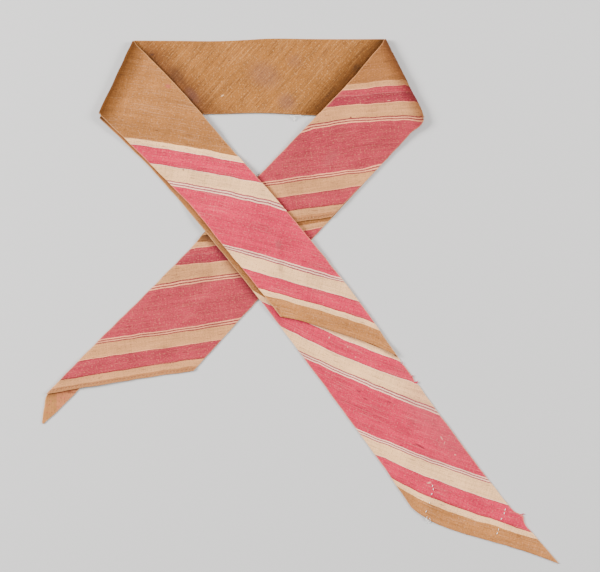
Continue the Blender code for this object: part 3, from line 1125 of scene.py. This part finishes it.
TACKING = [
    [(131.8, -184.1), (132.6, -187.6), (131.0, -192.3), (128.8, -200.9), (125.4, -209.6)],
    [(204.5, -207.8), (203.5, -211.4), (200.7, -217.0), (197.7, -227.7), (196.4, -231.5)],
]
LOOSE_ENDS = [
    [
        (126.4, -214.8, 1.6), (125.6, -217.6, 1.3), (126.9, -219.4, 0.6), (128.9, -218.6, 0.6),
        (128.2, -216.0, 1.2),
    ],
    [(128.6, -216.4, 1.4), (130.4, -218.4, 0.9), (129.6, -220.6, 0.5), (127.8, -221.4, 0.5)],
]
tacks = []
for column in TACKING:
    for k, (x, y) in enumerate(column):
        ax, ay = column[max(k - 1, 0)]
        bx, by = column[min(k + 1, len(column) - 1)]
        gap = math.dist((ax, ay), (bx, by))
        run_x = (bx - ax) / gap
        run_y = (by - ay) / gap
        lean = TACK_LEAN * (-1) ** k
        ends = [
            (x + step * TACK_LENGTH * run_x + step * lean * run_y,
             y + step * TACK_LENGTH * run_y - step * lean * run_x)
            for step in TACK_STEPS
        ]
        tacks.append(thread_on_cloth(ends, left_lower_height, TACK_ARCH))
tacking = sew("tacking_stitches", tacks + LOOSE_ENDS, TACK_RADIUS, white_thread)

# Where the edge is frayed, and how many fibres stick out there
FRAYED = [(102.3, -61.2, 3), (116.3, -80.2, 7), (112.0, -74.6, 4), (222.3, -213.5, 3)]
frays = []
for x, y, count in FRAYED:
    chance = random.Random(x)
    for k in range(count):
        turn = math.radians(chance.uniform(*FRAY_TURNS))
        reach = chance.uniform(*FRAY_REACHES)
        root_x = x + chance.uniform(-FRAY_SPREAD, FRAY_SPREAD) * 0.6
        root_y = y + chance.uniform(-FRAY_SPREAD, FRAY_SPREAD)
        frays.append([
            (root_x - 2.0, root_y - 0.6, 1.2),
            (root_x + 0.4, root_y, 1.0 + 0.3 * k % 0.5),
            (root_x + reach * math.cos(turn), root_y + reach * math.sin(turn), 0.5),
        ])
rose_thread = thread_material("rose_thread", ROSE)
frayed_edge = sew("frayed_edge", frays, FRAY_RADIUS, rose_thread)
declare_cloth(
    left_lower, "left_front_lower", right_side,
)


# Left front, layer on top
# The same cotton, right side up. It rolls round the left crease, crosses over the right front
# and stops at its hem.

LEFT_UPPER_SEED = 53.0
LEFT_UPPER_WEFT_SLANT = -12.0

LEFT_UPPER_STRIPES = [
    Crossing(233.0, 264.0, 258.0),
    Crossing(145.5, 163.8, 144.2),
    Crossing(139.5, 156.5, 137.0),
    Crossing(123.5, 137.8, 117.8),
    Crossing(109.0, 120.8, 97.6),
    Crossing(104.0, 115.6, 89.6),
    Crossing(56.0, 57.0, 23.0),
    Crossing(51.0, 51.7, 18.6),
    Crossing(36.0, 33.7, 0.0),
    Crossing(20.0, 13.2, -21.6),
    Crossing(14.0, 6.0, -29.6),
    Crossing(0.0, -14.0, -51.0),
]
LEFT_UPPER_RIPPLES = [
    Ripple(-178, 214, 64, 30, 5, 0.83),
    Ripple(-158, 222, 62, 26, 4, 0.68),
    Ripple(-134, 176, -50, 44, 7, 0.90),
    Ripple(-88, 132, -54, 40, 6, 0.83),
    Ripple(-22, 44, 92, 30, 4, 0.90),
    Ripple(-44, 66, -46, 34, 6, 0.68),
    Ripple(34, -12, -40, 30, 6, 0.75),
    Ripple(94, -50, -45, 9, 7, 1.80),
    Ripple(30, -36, -16, 16, 4, 0.90),
]


def left_upper_height(x, y):
    """Height of the layer's underside at a point."""
    return left_lower_height(x, y) + LAYER + SEAM + rippled(x, y, LEFT_UPPER_RIPPLES)


left_upper = lay_layer(
    "left_upper_layer", LEFT_UPPER, LEFT_UPPER_STRIPES, LEFT_UPPER_WEFT_SLANT, left_upper_height,
    LEFT_UPPER_SEED, rolls=True,
)
declare_cloth(
    left_upper, "left_front_upper", right_side,
)


# Table, lights and camera
# A pale table, two soft lamps at the sides as on a copy stand, a weak one above, and a camera
# straight above. The lengths here are in metres.

TABLE_REACH = 3.0
TABLE_DROP = 0.0002

table_corners = [
    (-TABLE_REACH, -TABLE_REACH, 0.0),
    (TABLE_REACH, -TABLE_REACH, 0.0),
    (TABLE_REACH, TABLE_REACH, 0.0),
    (-TABLE_REACH, TABLE_REACH, 0.0),
]
table_surface = bpy.data.meshes.new("table")
table_surface.from_pydata(table_corners, [], [(0, 1, 2, 3)])
table = bpy.data.objects.new("table", table_surface)
table.location.z = -TABLE_DROP
bpy.context.scene.collection.objects.link(table)
paper, paper_tree = new_material("pale_table")
paper_tree.nodes["Principled BSDF"].inputs["Base Color"].default_value = (0.62, 0.61, 0.60, 1.0)
paper_tree.nodes["Principled BSDF"].inputs["Roughness"].default_value = 0.9
table_surface.materials.append(paper)


def add_lamp(name, place, size, power):
    """A soft square lamp that points at the middle of the part."""
    lamp = bpy.data.lights.new(name, "AREA")
    lamp.energy = power
    lamp.size = size
    obj = bpy.data.objects.new(name, lamp)
    obj.location = place
    obj.rotation_euler = (Vector((0, 0, 0)) - Vector(place)).to_track_quat("-Z", "Y").to_euler()
    bpy.context.scene.collection.objects.link(obj)


add_lamp("left_lamp", (-2.2, 0.6, 1.35), size=1.0, power=150.0)
add_lamp("right_lamp", (2.2, 0.6, 1.35), size=1.0, power=90.0)
add_lamp("top_lamp", (0.0, 0.5, 2.2), size=1.4, power=12.0)

world = bpy.data.worlds.new("studio")
world.use_nodes = True
world.node_tree.nodes["Background"].inputs["Color"].default_value = (1.0, 1.0, 1.0, 1.0)
world.node_tree.nodes["Background"].inputs["Strength"].default_value = 0.35
bpy.context.scene.world = world

camera_data = bpy.data.cameras.new("camera")
camera_data.lens = 85
camera_data.sensor_width = 36
camera = bpy.data.objects.new("camera", camera_data)
camera.location = (-0.0005, 0.0155, 1.4167)
bpy.context.scene.collection.objects.link(camera)
bpy.context.scene.camera = camera
